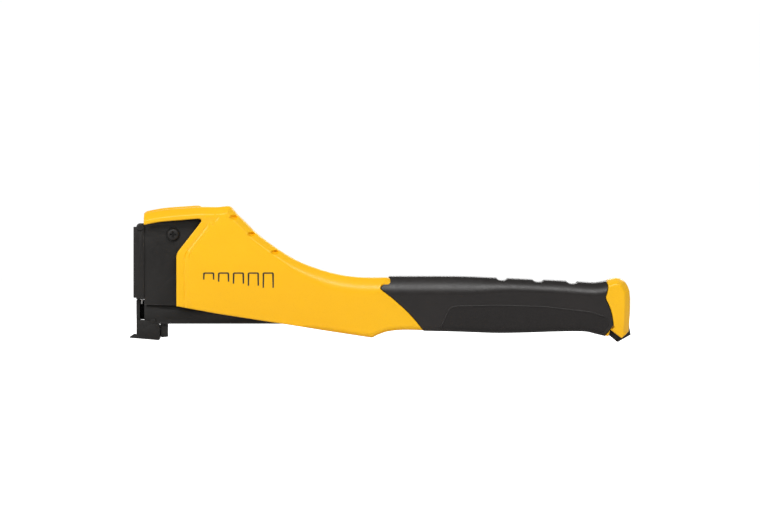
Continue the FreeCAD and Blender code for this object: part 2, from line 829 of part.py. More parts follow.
def check_and_write():
    doc.recompute()
    for item in doc.Objects:
        if "Invalid" in item.State or "Error" in item.State:
            raise RuntimeError(item.Name + " failed: " + str(item.State))
    os.makedirs("parts", exist_ok=True)
    for name, item in SHOWN.items():
        if item.Shape.isNull() or not item.Shape.isValid():
            raise RuntimeError(name + " has no valid shape")
        item.Shape.exportStep("parts/" + name + ".step")


build()
check_and_write()
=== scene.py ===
import json
import math

import bmesh
import bpy
import numpy as np
from mathutils import Matrix, Vector
from mathutils.geometry import delaunay_2d_cdt


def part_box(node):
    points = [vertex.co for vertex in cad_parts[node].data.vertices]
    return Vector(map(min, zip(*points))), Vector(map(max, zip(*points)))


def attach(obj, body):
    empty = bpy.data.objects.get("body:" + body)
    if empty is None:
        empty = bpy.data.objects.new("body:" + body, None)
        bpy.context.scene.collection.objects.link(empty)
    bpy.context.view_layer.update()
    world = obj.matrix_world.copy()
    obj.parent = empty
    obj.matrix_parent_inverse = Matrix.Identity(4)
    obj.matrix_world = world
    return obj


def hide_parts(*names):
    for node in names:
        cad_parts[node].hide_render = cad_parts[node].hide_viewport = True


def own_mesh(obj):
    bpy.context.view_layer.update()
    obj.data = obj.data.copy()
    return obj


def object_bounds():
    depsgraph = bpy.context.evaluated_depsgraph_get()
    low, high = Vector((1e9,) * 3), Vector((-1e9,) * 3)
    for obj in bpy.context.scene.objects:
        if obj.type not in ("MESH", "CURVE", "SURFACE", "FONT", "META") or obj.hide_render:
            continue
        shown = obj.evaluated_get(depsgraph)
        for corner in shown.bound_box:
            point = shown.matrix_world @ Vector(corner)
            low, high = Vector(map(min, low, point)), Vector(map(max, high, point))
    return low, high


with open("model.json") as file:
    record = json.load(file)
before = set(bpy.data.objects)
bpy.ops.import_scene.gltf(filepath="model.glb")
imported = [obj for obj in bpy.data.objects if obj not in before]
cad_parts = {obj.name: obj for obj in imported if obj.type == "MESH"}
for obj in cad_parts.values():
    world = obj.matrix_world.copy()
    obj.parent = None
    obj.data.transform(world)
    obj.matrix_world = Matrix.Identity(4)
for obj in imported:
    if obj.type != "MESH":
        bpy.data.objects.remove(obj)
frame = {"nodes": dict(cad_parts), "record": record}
cad_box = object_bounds()

MM = 0.001
WELD = 2e-6
SIDES = {"left": -1.0, "right": 1.0}


def box_mm(node):
    """A node's lowest and highest corners, in millimetres."""
    low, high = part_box(node)
    return [value / MM for value in low], [value / MM for value in high]


# Materials --------


class Finish:
    """A node material built up step by step on one Principled shader."""

    def __init__(self, name):
        self.material = bpy.data.materials.new(name)
        self.material.use_nodes = True
        self.tree = self.material.node_tree
        self.shader = self.tree.nodes["Principled BSDF"]
        self.place = self.add("ShaderNodeTexCoord").outputs["Object"]

    def add(self, kind, **settings):
        node = self.tree.nodes.new(kind)
        for key, value in settings.items():
            if hasattr(node, key):
                setattr(node, key, value)
            else:
                node.inputs[key].default_value = value
        return node

    def link(self, source, target):
        self.tree.links.new(source, target)

    def set(self, **values):
        for key, value in values.items():
            self.shader.inputs[key.replace("_", " ")].default_value = value
        return self

    def noise(self, scale, detail=3.0, rough=0.5, stretch=(1, 1, 1)):
        mapping = self.add("ShaderNodeMapping")
        mapping.inputs["Scale"].default_value = stretch
        self.link(self.place, mapping.inputs["Vector"])
        node = self.add("ShaderNodeTexNoise", Scale=scale, Detail=detail, Roughness=rough)
        self.link(mapping.outputs["Vector"], node.inputs["Vector"])
        return node.outputs["Fac"]

    def remap(self, source, low, high, to_low, to_high):
        node = self.add("ShaderNodeMapRange")
        ends = {"From Min": low, "From Max": high, "To Min": to_low, "To Max": to_high}
        for socket, value in ends.items():
            node.inputs[socket].default_value = value
        self.link(source, node.inputs["Value"])
        return node.outputs["Result"]

    def blend(self, factor, first, second):
        """Mixes two colours, each a tuple or another node's output."""
        node = self.add("ShaderNodeMix", data_type="RGBA")
        for socket, value in ((node.inputs[6], first), (node.inputs[7], second)):
            if isinstance(value, tuple):
                socket.default_value = (*value, 1.0)
            else:
                self.link(value, socket)
        self.link(factor, node.inputs[0])
        return node.outputs[2]

    def colour(self, source):
        self.link(source, self.shader.inputs["Base Color"])
        return self

    def tones(self, noise, band, first, second, most=1.0):
        """Two colours in clouds: the second shows where the noise is high in its band."""
        return self.blend(self.remap(self.noise(*noise), *band, 0.0, most), first, second)

    def gloss(self, grain, low, high):
        """Roughness that wanders between two values with a noise scale or another source."""
        source = self.noise(grain) if isinstance(grain, float) else grain
        self.link(self.remap(source, 0.3, 0.7, low, high), self.shader.inputs["Roughness"])
        return self

    def bump(self, *layers):
        """Stacks bumps, each a (scale, detail) noise or a source, a strength and a depth in metres."""
        normal = None
        for height, strength, distance in layers:
            node = self.add("ShaderNodeBump", Strength=strength, Distance=distance)
            source = self.noise(*height) if isinstance(height, tuple) else height
            self.link(source, node.inputs["Height"])
            if normal is not None:
                self.link(normal, node.inputs["Normal"])
            normal = node.outputs["Normal"]
        self.link(normal, self.shader.inputs["Normal"])
        return self

    def scratches(self, amount):
        """A mask of sparse fine scratches and rubbed spots."""
        lines = self.remap(self.noise(160.0, 5.0, 0.65, (0.25, 1, 3.0)), 0.66, 0.74, 0.0, amount)
        patches = self.remap(self.noise(35.0, 3.0), 0.50, 0.66, 0.0, 1.0)
        product = self.add("ShaderNodeMath", operation="MULTIPLY")
        self.link(lines, product.inputs[0])
        self.link(patches, product.inputs[1])
        return product.outputs["Value"]


def yellow_plastic():
    finish = Finish("yellow_glass_filled_nylon").set(IOR=1.5, Specular_IOR_Level=0.32)
    finish.set(Coat_Weight=0.14, Coat_Roughness=0.12)
    base = finish.tones((14.0, 2.0), (0.3, 0.7), (0.94, 0.485, 0.003), (0.97, 0.53, 0.004))
    flecked = finish.tones((900.0, 2.0), (0.55, 0.75), base, (0.82, 0.36, 0.003), 0.25)
    finish.colour(finish.blend(finish.scratches(0.35), flecked, (0.97, 0.62, 0.08)))
    finish.gloss(260.0, 0.30, 0.42)
    finish.bump(((1500.0, 2.0), 0.10, 0.00006), ((60.0, 2.0), 0.04, 0.0003))
    return finish.material


def textured_rubber():
    """The finely pebbled field on the lower part of the grip."""
    finish = Finish("pebbled_grip_rubber").set(IOR=1.5, Specular_IOR_Level=0.4)
    cells = finish.add("ShaderNodeTexVoronoi", Scale=1300.0)
    finish.link(finish.place, cells.inputs["Vector"])
    pebbles = cells.outputs["Distance"]
    tone = finish.remap(pebbles, 0.0, 0.6, 0.0, 1.0)
    finish.colour(finish.blend(tone, (0.0135, 0.0098, 0.0088), (0.0075, 0.0056, 0.005)))
    finish.gloss(240.0, 0.42, 0.54).bump((pebbles, 0.45, 0.00014))
    return finish.material


def black_coat():
    """Powder coat on the steel, with a few scratches down to a paler grey."""
    finish = Finish("black_powder_coat").set(IOR=1.5, Specular_IOR_Level=0.30)
    base = finish.tones((30.0,), (0.35, 0.7), (0.0105, 0.0095, 0.0085), (0.017, 0.0155, 0.0145))
    finish.colour(finish.blend(finish.scratches(0.5), base, (0.11, 0.105, 0.10)))
    finish.gloss(300.0, 0.36, 0.52)
    finish.bump(((1300.0, 3.0), 0.18, 0.00009), ((140.0, 2.0), 0.05, 0.0002))
    return finish.material


def steel(name, tint, low, high, stretch):
    """Bare or plated metal with a drawn grain along the axis that stretch shrinks."""
    finish = Finish(name).set(Metallic=1.0)
    darker = tuple(value * 0.78 for value in tint)
    finish.colour(finish.tones((45.0,), (0.35, 0.7), tint, darker))
    grain = finish.noise(700.0, 4.0, 0.6, stretch)
    finish.gloss(grain, low, high).bump((grain, 0.10, 0.00005))
    return finish.material


def matt_black_nylon():
    finish = Finish("black_nylon").set(IOR=1.5, Specular_IOR_Level=0.35)
    finish.colour(finish.blend(finish.scratches(0.5), (0.013, 0.012, 0.012), (0.06, 0.058, 0.056)))
    finish.gloss(280.0, 0.32, 0.46).bump(((1400.0, 2.0), 0.16, 0.00008))
    return finish.material


def clouded(name, tones, gloss, bumps, **settings):
    """A finish of two close tones in clouds, with a grain in its gloss and on its surface."""
    finish = Finish(name).set(**settings)
    finish.colour(finish.tones(*tones)).gloss(*gloss).bump(*bumps)
    return finish.material


FINISHES = {
    "yellow_plastic": yellow_plastic(),
    "black_rubber": clouded(
        "black_grip_rubber",
        ((22.0, 4.0, 0.6), (0.45, 0.75), (0.0085, 0.0062, 0.0055), (0.018, 0.0135, 0.012), 0.5),
        (320.0, 0.31, 0.41),
        (((1900.0, 2.0), 0.16, 0.00008), ((90.0, 2.0), 0.05, 0.0003)),
        IOR=1.5,
        Specular_IOR_Level=0.5,
    ),
    "pebbled_rubber": textured_rubber(),
    "black_steel": black_coat(),
    # the same coat where it has thinned on the edges of the steel
    "rubbed_edges": clouded(
        "rubbed_powder_coat",
        ((260.0, 4.0, 0.7), (0.50, 0.68), (0.024, 0.022, 0.021), (0.15, 0.145, 0.14), 0.8),
        (300.0, 0.28, 0.42),
        (((900.0, 3.0), 0.15, 0.00008),),
        IOR=1.5,
        Specular_IOR_Level=0.5,
    ),
    "spring_steel": steel("oiled_spring_steel", (0.40, 0.39, 0.38), 0.22, 0.36, (1, 1, 0.06)),
    "zinc_plate": steel("bright_zinc_plate", (0.68, 0.68, 0.70), 0.20, 0.34, (0.06, 1, 1)),
    "black_plastic": matt_black_nylon(),
    "bumper_rubber": clouded(
        "stop_rubber",
        ((120.0, 4.0), (0.4, 0.7), (0.022, 0.021, 0.020), (0.045, 0.043, 0.041)),
        (300.0, 0.65, 0.85),
        (((900.0, 3.0), 0.3, 0.0001),),
        IOR=1.5,
    ),
    "nylon": clouded(
        "natural_acetal",
        ((60.0, 2.0), (0.3, 0.7), (0.74, 0.71, 0.64), (0.66, 0.63, 0.56)),
        (240.0, 0.35, 0.48),
        (((1100.0, 2.0), 0.1, 0.00006),),
        IOR=1.48,
        Subsurface_Weight=0.08,
        Subsurface_Scale=0.002,
    ),
    "ink": clouded(
        "printed_black_ink",
        ((500.0, 3.0), (0.4, 0.7), (0.012, 0.011, 0.012), (0.024, 0.022, 0.022)),
        (350.0, 0.38, 0.5),
        (((900.0, 2.0), 0.1, 0.00004),),
        IOR=1.48,
    ),
}
SLOT_OF = {part["node"]: part["material_slot"] for part in frame["record"]["subparts"]}
BODY_OF = {
    node: body for body, nodes in frame["record"]["behaviour"]["bodies"].items() for node in nodes
}


def settle(piece, body, finish, nodes=(), sharp=35.0):
    """Gives a finished mesh its material, body and shading."""
    if finish is not None:
        piece.data.materials.clear()
        piece.data.materials.append(FINISHES[finish])
    if sharp is not None:
        piece.data.shade_smooth()
        piece.data.set_sharp_from_angle(angle=math.radians(sharp))
    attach(piece, body)
    if nodes:
        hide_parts(*nodes)


def new_piece(name, mesh):
    piece = bpy.data.objects.new(name, mesh)
    bpy.context.scene.collection.objects.link(piece)
    return piece


def apply_modifiers(piece):
    """Turns a piece with modifiers into a plain mesh."""
    graph = bpy.context.evaluated_depsgraph_get()
    mesh = bpy.data.meshes.new_from_object(piece.evaluated_get(graph))
    piece.modifiers.clear()
    old = piece.data
    piece.data = mesh
    bpy.data.meshes.remove(old)


def discard(piece):
    mesh = piece.data
    bpy.data.objects.remove(piece)
    bpy.data.meshes.remove(mesh)


def cut(piece, *tools):
    """Takes closed tools out of a piece and throws them away."""
    for tool in tools:
        hole = piece.modifiers.new("hole", "BOOLEAN")
        hole.operation = "DIFFERENCE"
        hole.solver = "EXACT"
        hole.object = tool
    apply_modifiers(piece)
    for tool in tools:
        discard(tool)


def circle(x, z, radius, sides):
    """Even points around a spot of the side view."""
    angles = [2 * math.pi * k / sides for k in range(sides)]
    return [(x + radius * math.cos(a), z + radius * math.sin(a)) for a in angles]


def ring(build, spots, level):
    """Corners at points of the side view, all at one distance from the middle plane."""
    return [build.verts.new((MM * x, MM * level, MM * z)) for x, z in spots]


def join(build, first, second):
    """A band of faces between two loops; a loop of one corner closes it to a point."""
    sides = max(len(first), len(second))
    for k in range(sides):
        after = (k + 1) % sides
        loop = [first[k % len(first)], first[after % len(first)]]
        loop += [second[after % len(second)], second[k % len(second)]]
        build.faces.new(list(dict.fromkeys(loop)))


def closed_mesh(name, build):
    """Ends a build: its faces turned outwards, as a mesh."""
    bmesh.ops.recalc_face_normals(build, faces=build.faces)
    mesh = bpy.data.meshes.new(name)
    build.to_mesh(mesh)
    build.free()
    return mesh


def mesh_of(name, vertices, polygons):
    """A closed mesh from corners in metres, its doubles merged and its faces outwards."""
    rough = bpy.data.meshes.new("rough")
    rough.from_pydata(vertices, [], polygons)
    build = bmesh.new()
    build.from_mesh(rough)
    bpy.data.meshes.remove(rough)
    bmesh.ops.remove_doubles(build, verts=build.verts, dist=WELD)
    bmesh.ops.dissolve_degenerate(build, edges=build.edges, dist=1e-6)
    return closed_mesh(name, build)


# Outlines in X and Z, in millimetres --------


def bend(points, steps=10):
    """A smooth curve through the points, by Catmull-Rom spans of even steps."""
    ends = [2 * np.array(points[0]) - points[1]] + [np.array(p, float) for p in points]
    ends += [2 * np.array(points[-1]) - points[-2]]
    path = []
    for a, b, c, d in zip(ends, ends[1:], ends[2:], ends[3:]):
        for step in range(steps):
            t = step / steps
            path.append(
                0.5 * (2 * b + (c - a) * t + (2 * a - 5 * b + 4 * c - d) * t**2)
                + 0.5 * (3 * b - a - 3 * c + d) * t**3
            )
    path.append(np.array(points[-1], float))
    return [tuple(point) for point in path]


def rounded(points, radius, steps=6):
    """A polyline whose inner corners are rounded by small curves."""
    points = [np.array(point, float) for point in points]
    path = [tuple(points[0])]
    for before, corner, after in zip(points, points[1:], points[2:]):
        into, out = before - corner, after - corner
        reach = min(radius, 0.45 * np.linalg.norm(into), 0.45 * np.linalg.norm(out))
        start = corner + into / np.linalg.norm(into) * reach
        end = corner + out / np.linalg.norm(out) * reach
        for step in range(steps + 1):
            t = step / steps
            path.append(tuple((1 - t) ** 2 * start + 2 * t * (1 - t) * corner + t**2 * end))
    path.append(tuple(points[-1]))
    return path


def evenly(path, spacing):
    """Points along a polyline no further apart than the spacing, corners kept."""
    dense = [tuple(path[0])]
    for a, b in zip(path, path[1:]):
        a, b = np.array(a, float), np.array(b, float)
        count = max(1, int(math.ceil(np.linalg.norm(b - a) / spacing)))
        dense += [tuple(a + (b - a) * k / count) for k in range(1, count + 1)]
    return dense


def nearest(points, path):
    """The distance from each point to a polyline and the direction away from it."""
    points = np.asarray(points, float)
    best = np.full(len(points), 1e9)
    away = np.zeros((len(points), 2))
    path = np.asarray(path, float)
    for a, b in zip(path, path[1:]):
        along = b - a
        length = along @ along
        if length < 1e-12:
            continue
        t = np.clip((points - a) @ along / length, 0, 1)
        gap = points - a - t[:, None] * along
        size = np.hypot(gap[:, 0], gap[:, 1])
        right = np.array((along[1], -along[0])) / math.sqrt(length)
        closer = size < best
        best = np.where(closer, size, best)
        unit = np.where(size[:, None] > 1e-3, gap / np.maximum(size, 1e-3)[:, None], right)
        away = np.where(closer[:, None], unit, away)
    return best, away


def distance(points, path):
    return nearest(points, path)[0]


def inside(points, loop):
    """Which points lie inside a closed outline."""
    points = np.asarray(points, float)
    result = np.zeros(len(points), bool)
    x, z = points[:, 0], points[:, 1]
    for (ax, az), (bx, bz) in zip(loop, list(loop[1:]) + [loop[0]]):
        if az == bz:
            continue
        crosses = (az > z) != (bz > z)
        result ^= crosses & (x < (bx - ax) * (z - az) / (bz - az) + ax)
    return result


def inset(path, depth):
    """A polyline moved to its right by a depth. The outline runs clockwise."""
    path = np.asarray(path, float)
    step = np.gradient(path, axis=0)
    length = np.hypot(step[:, 0], step[:, 1])
    length[length < 1e-9] = 1.0
    normal = np.stack([step[:, 1], -step[:, 0]], axis=1) / length[:, None]
    return path + normal * depth


def smooth_min(a, b, width):
    """The lower of two heights, blended over a width."""
    mix = np.clip(0.5 + 0.5 * (b - a) / width, 0, 1)
    return b * (1 - mix) + a * mix - width * mix * (1 - mix)


def ease(value, low, high):
    t = np.clip((value - low) / (high - low), 0, 1)
    return t * t * (3 - 2 * t)


def edge_drop(depth, radius):
    """How far a rounded edge falls below its face, by distance from the edge."""
    inner = np.clip(radius - depth, 0, radius)
    return radius - np.sqrt(np.maximum(radius**2 - inner**2, 0))


def rolled(points, path, radius):
    """How far a face falls near a path that is one of its rounded edges."""
    return edge_drop(distance(points, path), radius)


# Outlines of the handle --------

# distances from the middle plane, and the shell's wall
PANEL_SIDE = -box_mm("housing_left")[0][1]
GRIP_SIDE = -box_mm("grip_left")[0][1]
SLOT_SIDE = 8.2
ROOF_HALF = 10.6
WALL = 2.4
# where the front of the shell hands over to the butt, under the rubber
MID_GRIP = 80.0

CUTOUT = (
    rounded([(-148.1, 26.1), (-148.1, 64.2), (-131.0, 86.1)], 3.0)
    + [(-129.9, 87.8), (-130.2, 89.0), (-131.6, 89.6), (-134.0, 89.5)]
    + bend([(-138.0, 89.2), (-144.7, 88.6), (-159.9, 87.3), (-171.8, 85.1)], 8)
)
FRONT_EDGE = [(-171.8, 85.1), (-171.8, 93.8)]
ROOF = (
    bend([(-171.8, 93.8), (-159.9, 95.9), (-149.8, 97.0), (-136.7, 98.0), (-130.5, 98.4)], 8)
    + [(-117.5, 98.3)]
    + rounded([(-113.5, 98.7), (-109.3, 99.2), (-104.4, 93.3)], 1.6)
    + bend(
        [(-96.6, 85.7), (-91.2, 80.2), (-83.9, 74.3), (-74.3, 67.5), (-60.5, 59.2)]
        + [(-44.8, 53.1), (-29.3, 49.0), (-14.0, 47.1), (5.4, 47.0)],
        6,
    )
)
CORE_TOP = [(6.6, 46.9), (8.6, 44.8), (57.9, 43.6), (88.0, 42.2)]
CORE_TOP += [(140.0, 40.0), (163.0, 40.6), (164.9, 44.2)]
BUTT_TOP = bend(
    [(165.6, 45.1), (169.2, 46.2), (173.3, 46.6), (177.4, 44.4), (180.0, 41.0), (181.4, 37.0)], 6
)
BUTT_REAR = [(181.9, 31.5), (181.8, 22.4), (181.3, 12.6), (180.8, 7.6)]
BUTT_FOOT = rounded([(180.8, 7.6), (175.3, 2.8), (167.0, 9.3), (166.0, 4.3), (163.8, 4.5)], 0.6)
CORE_BOTTOM = [(162.2, 8.4), (147.8, 10.1), (112.0, 9.4), (72.0, 9.3), (33.4, 10.4), (32.2, 8.5)]
BELLY = bend([(31.4, 8.5), (20.8, 8.8), (11.8, 8.5), (4.1, 7.3), (-1.8, 5.2)], 6) + rounded(
    [(-2.6, 4.8), (-5.9, 3.1), (-12.0, 4.0)], 1.2
)
BELLY_FRONT = [(-42.3, 8.6), (-55.0, 10.7)]
LOWER_EDGE = [(-70.1, 13.1), (-120.0, 20.9), (-146.6, 25.8)]

# the crease that bounds the flat side panel, and the band it leaves along the cut-out
CREASE = rounded([(-139.4, 24.7), (-139.0, 63.0), (-117.0, 91.2)], 2.0)
CREASE_END = (-129.6, 90.6)
CREASE_WIDTH = 2.8
CREASE_STEP = 0.6
CREASE_GROOVE = 0.42
CUTOUT_BAND = CREASE + [CREASE_END, (-134.0, 88.0), (-152.0, 66.0), (-152.0, 20.0), (-141.0, 20.0)]

# the grip's front and rear edges on the side of the handle
GRIP_FRONT = (
    rounded([(6.6, 47.9), (-0.6, 38.9), (8.5, 32.0)], 2.2)
    + bend([(10.5, 30.3), (18.9, 22.7), (25.6, 15.5), (31.6, 8.0)], 6)
)
GRIP_REAR = bend(
    [(164.5, 44.9), (165.7, 40.8), (165.1, 36.2), (164.0, 32.0), (166.3, 26.6), (167.9, 22.0)]
    + [(169.2, 15.3), (169.7, 9.8)],
    5,
)
GRIP_REAR_FOOT = [(167.2, 9.2), (163.6, 4.4)]
SCALLOPS = (88.7, 115.1, 139.8)
FINGER_GROOVES = ((-106.6, 90.6), (-93.6, 78.3), (-76.5, 65.2))
GROOVE_LONG, GROOVE_TALL, GROOVE_DEEP = 3.1, 1.8, 2.6


def crossing(path, level):
    """Where a path that falls steadily meets a height."""
    path = sorted(path, key=lambda point: point[1])
    return np.interp(level, [p[1] for p in path], [p[0] for p in path])


def grip_front_x(level):
    """The grip's front edge: the upper branch leans one way and the lower one the other."""
    corner = min(range(len(GRIP_FRONT)), key=lambda k: GRIP_FRONT[k][0])
    upper, lower = GRIP_FRONT[: corner + 1], GRIP_FRONT[corner:]
    return np.where(
        np.asarray(level) > GRIP_FRONT[corner][1], crossing(upper, level), crossing(lower, level)
    )


def grip_rear_x(level):
    return crossing(GRIP_REAR + GRIP_REAR_FOOT, level)


def shell_height(points):
    """Half the shell's width at points of its side view."""
    x, z = points[:, 0], points[:, 1]
    # the head and neck: flat sides under a roof that leans in, narrower towards the neck
    neck = ease(x, -80.0, -30.0)
    top = distance(points, ROOF)
    start = ROOF_HALF + 0.6 * ease(x, -118.0, -106.0) - 1.4 * neck
    blend_width = 0.6 + 3.4 * ease(x, -88.0, -40.0)
    body = smooth_min(start + (1.05 - 0.12 * neck) * top, np.full(len(x), PANEL_SIDE), blend_width)
    body -= edge_drop(top, 1.0)
    body -= rolled(points, BELLY + BELLY_FRONT, 3.2) * ease(x, -60.0, -44.0)
    body -= rolled(points, BELLY_FRONT + LOWER_EDGE, 0.9)
    band = np.where(inside(points, CUTOUT_BAND), distance(points, CREASE + [CREASE_END]), 0.0)
    body -= CREASE_STEP * np.clip(band / CREASE_WIDTH, 0.0, 1.0)
    for line in (CREASE, inset(CREASE, -CREASE_WIDTH)):
        body -= CREASE_GROOVE * (1 - ease(distance(points, line), 0.0, 0.5))
    body -= rolled(points, CUTOUT, 0.8) + rolled(points, FRONT_EDGE, 0.7)
    for gx, gz in FINGER_GROOVES:
        reach = np.hypot((x - gx) / GROOVE_LONG, (z - gz) / GROOVE_TALL)
        body -= GROOVE_DEEP * (1 - ease(reach, 0.5, 1.0))
    body -= rolled(points, GRIP_FRONT, 0.45)

    # the core that carries the rubber
    core = GRIP_SIDE - 2.6 - rolled(points, CORE_TOP + BUTT_TOP, 5.0)
    core -= rolled(points, CORE_BOTTOM, 4.0)

    # the butt, which leans in at its rear and its top
    rear_face = distance(points, BUTT_TOP[-9:] + BUTT_REAR)
    butt = smooth_min(np.full(len(x), GRIP_SIDE - 0.15), 10.6 + 1.25 * rear_face, 0.5)
    butt = smooth_min(butt, 9.6 + 1.5 * distance(points, BUTT_TOP[:-4]), 2.5)
    butt -= rolled(points, BUTT_TOP + BUTT_REAR, 1.0) + rolled(points, BUTT_FOOT, 0.7)
    butt -= rolled(points, GRIP_REAR, 0.4)

    under = (x > grip_front_x(z) + 0.02) & (x < grip_rear_x(z) - 0.02) & (z < 47.5)
    return np.where(under, core, np.where(x < MID_GRIP, body, butt))


# Building a moulded half shell from its side view --------

RIM_STEP = 1.1
RIM_STRIPS = 3
# triangles smaller than this many square millimetres are left out
SLIVER = 5e-5


def rim_of(chains):
    """The outline's points and how far from the middle plane the rim at each one ends."""
    points, sides = [], []
    for path, side in chains:
        for point in evenly(path, RIM_STEP):
            if points and math.dist(point, points[-1]) < 0.05:
                sides[-1] = side
                continue
            points.append(point)
            sides.append(side)
    return points, sides


def filling(outline, loops, spacing, guides):
    """Points inside an outline: rows that follow its edge at each depth, then an even grid."""
    closed = outline + outline[:1]
    fill = []
    for depth in loops:
        row = inset(evenly(closed, max(0.9, 0.35 * depth)), depth)
        keep = inside(row, outline) & (distance(row, closed) > depth * 0.93)
        fill += [tuple(point) for point, kept in zip(row, keep) if kept]
    (left, low), (right, high) = np.min(outline, axis=0), np.max(outline, axis=0)
    columns = np.arange(left, right, spacing)
    rows = enumerate(np.arange(low, high, spacing * 0.866))
    grid = [(x + (row % 2) * spacing / 2, z) for row, z in rows for x in columns]
    keep = inside(grid, outline) & (distance(grid, closed) > max(loops) + spacing * 0.4)
    fill += [point for point, kept in zip(grid, keep) if kept]
    for path in guides:
        fill = [point for point, gap in zip(fill, distance(fill, path)) if gap > 0.22]
    return fill


def triangles_over(outline, guides, fill):
    """Triangles inside an outline, with its edge and the guides among their edges."""
    count = len(outline)
    coords = list(outline)
    edges = [(k, (k + 1) % count) for k in range(count)]
    for path in guides:
        first = len(coords)
        coords += evenly(path, RIM_STEP)
        edges += [(k, k + 1) for k in range(first, len(coords) - 1)]
    coords += fill
    result = delaunay_2d_cdt([Vector(spot) for spot in coords], edges, [], 1, 1e-4, True)
    flat, _, faces, origin = result[:4]
    index_of = {source: out for out, inputs in enumerate(origin) for source in inputs}
    flat = np.array([tuple(spot) for spot in flat])
    corners = flat[np.array([list(face) for face in faces])]
    first, second = corners[:, 1] - corners[:, 0], corners[:, 2] - corners[:, 0]
    area = 0.5 * np.abs(first[:, 0] * second[:, 1] - first[:, 1] * second[:, 0])
    kept = inside(corners.mean(axis=1), outline) & (area > SLIVER)
    return flat, index_of, [list(face) for face, keep in zip(faces, kept) if keep]


def inner_shift(vertices, on_face, chains, wall, sign):
    """The step from a half's outer to its inner side: inwards from its face and its rims."""
    rims = [list(path) for path, side in chains if side is not None]
    spots = vertices[:, ::2]
    gap, away = np.full(len(spots), 1e9), np.zeros((len(spots), 2))
    for path, after in zip(rims, rims[1:] + [[]]):
        path_gap, path_away = nearest(spots, path + after[:1])
        closer = path_gap < gap
        gap, away = np.where(closer, path_gap, gap), np.where(closer[:, None], path_away, away)
    shift = np.zeros(vertices.shape)
    shift[:, ::2] = away * np.maximum(wall - gap, 0.0)[:, None]
    shift[:on_face, 1] = -sign * wall
    return shift


def half_mesh(name, chains, height, guides, spacing, loops, wall, sign):
    """A moulded half: a height field over an outline, rims to the middle and a wall.

    chains are (points, inner side or None) in clockwise order; a chain whose inner side is
    None stays open, and any other is closed across to that distance from the middle plane.
    sign is -1 for the left half and 1 for the right one.
    """
    outline, sides = rim_of(chains)
    fill = filling(outline, loops, spacing, guides)
    flat, index_of, polygons = triangles_over(outline, guides, fill)
    width = height(flat)
    vertices = [(x, sign * y, z) for (x, z), y in zip(flat, width)]
    columns = {}
    for k, side in enumerate(sides):
        side = sides[k - 1] if side is None else side
        if side is None:
            continue
        out = index_of[k]
        x, z = flat[out]
        columns[k] = [out, *range(len(vertices), len(vertices) + RIM_STRIPS)]
        for step in range(1, RIM_STRIPS + 1):
            level = width[out] + (side - width[out]) * step / RIM_STRIPS
            vertices.append((x, sign * level, z))
    for k, side in enumerate(sides):
        if side is not None:
            a, b = columns[k], columns[(k + 1) % len(sides)]
            polygons += [[a[low], a[low + 1], b[low + 1], b[low]] for low in range(RIM_STRIPS)]
    vertices = np.array(vertices)
    shift = inner_shift(vertices, len(flat), chains, wall, sign)
    return walled(name, vertices, shift, polygons)


def walled(name, vertices, shift, polygons):
    """A closed shell from an open sheet and the step from its outer to its inner face."""
    total = len(vertices)
    uses = {}
    for polygon in polygons:
        for a, b in zip(polygon, polygon[1:] + polygon[:1]):
            uses.setdefault((min(a, b), max(a, b)), []).append((a, b))
    open_edges = [pairs[0] for pairs in uses.values() if len(pairs) == 1]
    walls = [(b, a, a + total, b + total) for a, b in open_edges]
    inner = [[k + total for k in reversed(polygon)] for polygon in polygons]
    both = np.concatenate([vertices, vertices + shift]) * MM
    return new_piece(name, mesh_of(name, both, polygons + inner + walls))


def tube_between(build, spot, low, high, outer, inner, sides=28):
    """A closed round boss along Y with a hole through it."""
    corners = ((outer, low), (outer, high), (inner, high), (inner, low))
    rings = [ring(build, circle(*spot, radius, sides), level) for radius, level in corners]
    for first, second in zip(rings, rings[1:] + rings[:1]):
        join(build, first, second)


def add_to(piece, build):
    """Adds closed geometry to a piece, its faces pointing outwards."""
    added = closed_mesh("added", build)
    whole = bmesh.new()
    whole.from_mesh(piece.data)
    whole.from_mesh(added)
    whole.to_mesh(piece.data)
    whole.free()
    bpy.data.meshes.remove(added)


def drill(piece, spots, low, high):
    """Round holes for the screw heads through one side of a closed piece, along Y."""
    tool = bmesh.new()
    for spot in spots:
        ends = [ring(tool, circle(*spot, HEAD_HOLE, 40), level) for level in (low, high)]
        for end in ends:
            tool.faces.new(end)
        join(tool, *ends)
    cut(piece, new_piece("drill", closed_mesh("drill", tool)))


def solid_centres(node):
    """Where each separate solid of a CAD node stands in the side view, front to rear."""
    copy = bmesh.new()
    copy.from_mesh(frame["nodes"][node].data)
    bmesh.ops.remove_doubles(copy, verts=copy.verts, dist=1e-6)
    left = set(copy.verts)
    centres = []
    while left:
        stack, group = [left.pop()], []
        while stack:
            vertex = stack.pop()
            group.append((vertex.co.x / MM, vertex.co.z / MM))
            near = {edge.other_vert(vertex) for edge in vertex.link_edges} & left
            left -= near
            stack += near
        centres.append(tuple((np.min(group, axis=0) + np.max(group, axis=0)) / 2))
    copy.free()
    return sorted(centres)


SCREW_SPOTS = solid_centres("housing_screws")
HEAD_HOLE = 4.0
BOSS, BORE = 3.6, 1.95
CUP, CUP_UNDER_GRIP = 5.3, 4.4
UNDER_GRIP = [spot for spot in SCREW_SPOTS if 60.0 < spot[0] < 150.0]


